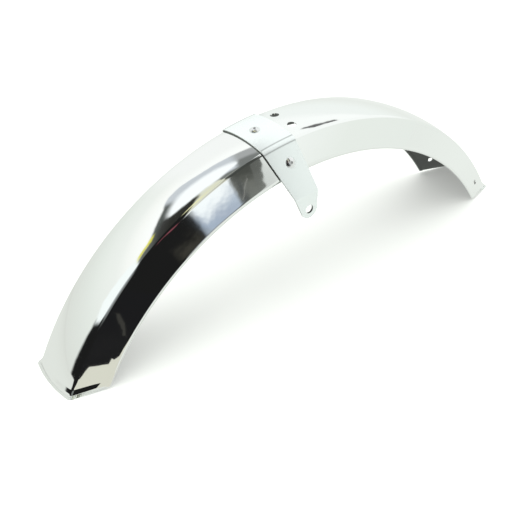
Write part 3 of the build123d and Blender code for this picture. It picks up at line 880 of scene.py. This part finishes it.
# ragged edge of the dull screen, darker higher up, and a pale streak on it
screenLine = [(0.118, -0.419, 0.338), (0.122, -0.437, 0.251), (0.116, -0.441, 0.245), (0.113, -0.445, 0.234),
              (0.108, -0.448, 0.230), (0.111, -0.448, 0.223), (0.106, -0.451, 0.219), (0.096, -0.455, 0.217),
              (0.085, -0.460, 0.211), (0.088, -0.456, 0.230), (0.092, -0.450, 0.251), (0.096, -0.428, 0.338)]
screenMesh = stagePiece("raggedScreen", screenLine, [tuple(range(len(screenLine)))], glow("raggedScreen"))
screenTone = np.interp(np.array(screenLine)[:, 2], [0.205, 0.225, 0.24, 0.26, 0.338], [0.19, 0.18, 0.13, 0.11, 0.08])
layPaint(screenMesh, screenTone[:, None] * np.array([1, 1.04, 0.96, 1]))
streakLine = [(0.075, -0.457, 0.243), (0.0725, -0.457, 0.243), (0.0440, -0.476, 0.214), (0.0465, -0.476, 0.214)]
stagePiece("screenStreak", streakLine, [tuple(range(len(streakLine)))], glow("screenStreak", (0.30, 0.30, 0.28)))
# beige sheet between the dark card and the guard
floorCard("beigeSheet", 0.0003, (0.72, 0.715, 0.62), [
    (-0.34, -0.045), (-0.2, -0.045), (-0.2, -0.30), (-0.34, -0.30)])

# pale floor: matt and a little lifted for the camera, and for the metal a painted glow, darker on its left than its
# right, that stands in for most of its lit shading
reach = studio["floor"]
floorMesh = bpy.data.meshes.new("floor")
floorMesh.from_pydata([(-reach, -reach, 0), (reach, -reach, 0), (reach, reach, 0), (-reach, reach, 0)], [],
                      [(0, 1, 2, 3)])
floorMaterial, tree, surface = bareMaterial("paleFloor")
lightPath = tree.nodes.new("ShaderNodeLightPath")
glossy = lightPath.outputs["Is Glossy Ray"]
diffuse = tree.nodes.new("ShaderNodeBsdfDiffuse")
tree.links.new(mixColours(tree, glossy, studio["floorColour"], studio["mirrorTone"]), diffuse.inputs["Color"])
coords = tree.nodes.new("ShaderNodeTexCoord")
split = tree.nodes.new("ShaderNodeSeparateXYZ")
along = tree.nodes.new("ShaderNodeMapRange")
along.inputs["From Min"].default_value, along.inputs["From Max"].default_value = studio["mirrorSpan"]
tree.links.new(coords.outputs["Object"], split.inputs["Vector"])
tree.links.new(split.outputs["X"], along.inputs["Value"])
sides = mixColours(tree, along.outputs["Result"], studio["mirrorLeft"], studio["mirrorRight"])
lift = tree.nodes.new("ShaderNodeEmission")
tree.links.new(mixColours(tree, glossy, studio["liftColour"], sides), lift.inputs["Color"])
liftLevel = tree.nodes.new("ShaderNodeMath")
liftLevel.operation = "MULTIPLY_ADD"
liftLevel.inputs[1].default_value = studio["cameraLift"]
tree.links.new(lightPath.outputs["Is Camera Ray"], liftLevel.inputs[0])
tree.links.new(glossy, liftLevel.inputs[2])
tree.links.new(liftLevel.outputs["Value"], lift.inputs["Strength"])
both = tree.nodes.new("ShaderNodeAddShader")
tree.links.new(diffuse.outputs["BSDF"], both.inputs[0])
tree.links.new(lift.outputs["Emission"], both.inputs[1])
tree.links.new(both.outputs["Shader"], surface)
floorMesh.materials.append(floorMaterial)
floor = bpy.data.objects.new("floor", floorMesh)
scene.collection.objects.link(floor)

lampData = bpy.data.lights.new("overhead", "AREA")
lampData.shape = "SQUARE"
lampData.size = studio["lampSize"]
lampData.energy = studio["lampPower"]
lamp = bpy.data.objects.new("overhead", lampData)
lamp.location = studio["lampPlace"]
scene.collection.objects.link(lamp)
lamp.visible_glossy = False
lamp.visible_camera = False

world = bpy.data.worlds.new("room")
scene.world = world
world.use_nodes = True
tree = world.node_tree
tree.nodes.clear()
path = tree.nodes.new("ShaderNodeLightPath")
fill = tree.nodes.new("ShaderNodeBackground")
fill.inputs["Strength"].default_value = studio["fill"]
white = tree.nodes.new("ShaderNodeBackground")
seen = tree.nodes.new("ShaderNodeMixShader")
out = tree.nodes.new("ShaderNodeOutputWorld")
for background in (fill, white):
    background.inputs["Color"].default_value = (1, 1, 1, 1)
tree.links.new(path.outputs["Is Camera Ray"], seen.inputs["Fac"])
tree.links.new(fill.outputs["Background"], seen.inputs[1])
tree.links.new(white.outputs["Background"], seen.inputs[2])
tree.links.new(seen.outputs["Shader"], out.inputs["Surface"])
print("studio ready")

# camera at the photograph's place, with its angles in degrees
view = {"azimuth": -35.143, "elevation": 36.089, "roll": -3.319, "place": (-0.42086, -0.54639, 0.50880),
        "lens": 57.776}
az, el, roll = [np.radians(view[key]) for key in ("azimuth", "elevation", "roll")]
back = np.array([np.sin(az) * np.cos(el), -np.cos(az) * np.cos(el), np.sin(el)])
level = np.array([np.cos(az), np.sin(az), 0])
skyward = np.cross(back, level)
rightward = np.cos(roll) * level + np.sin(roll) * skyward
upward = -np.sin(roll) * level + np.cos(roll) * skyward
cameraData = bpy.data.cameras.new("camera")
cameraData.lens = view["lens"]
camera = bpy.data.objects.new("camera", cameraData)
turned = np.column_stack([rightward, upward, back, view["place"]])
camera.matrix_world = Matrix([*turned.tolist(), [0, 0, 0, 1]])
scene.collection.objects.link(camera)
scene.camera = camera
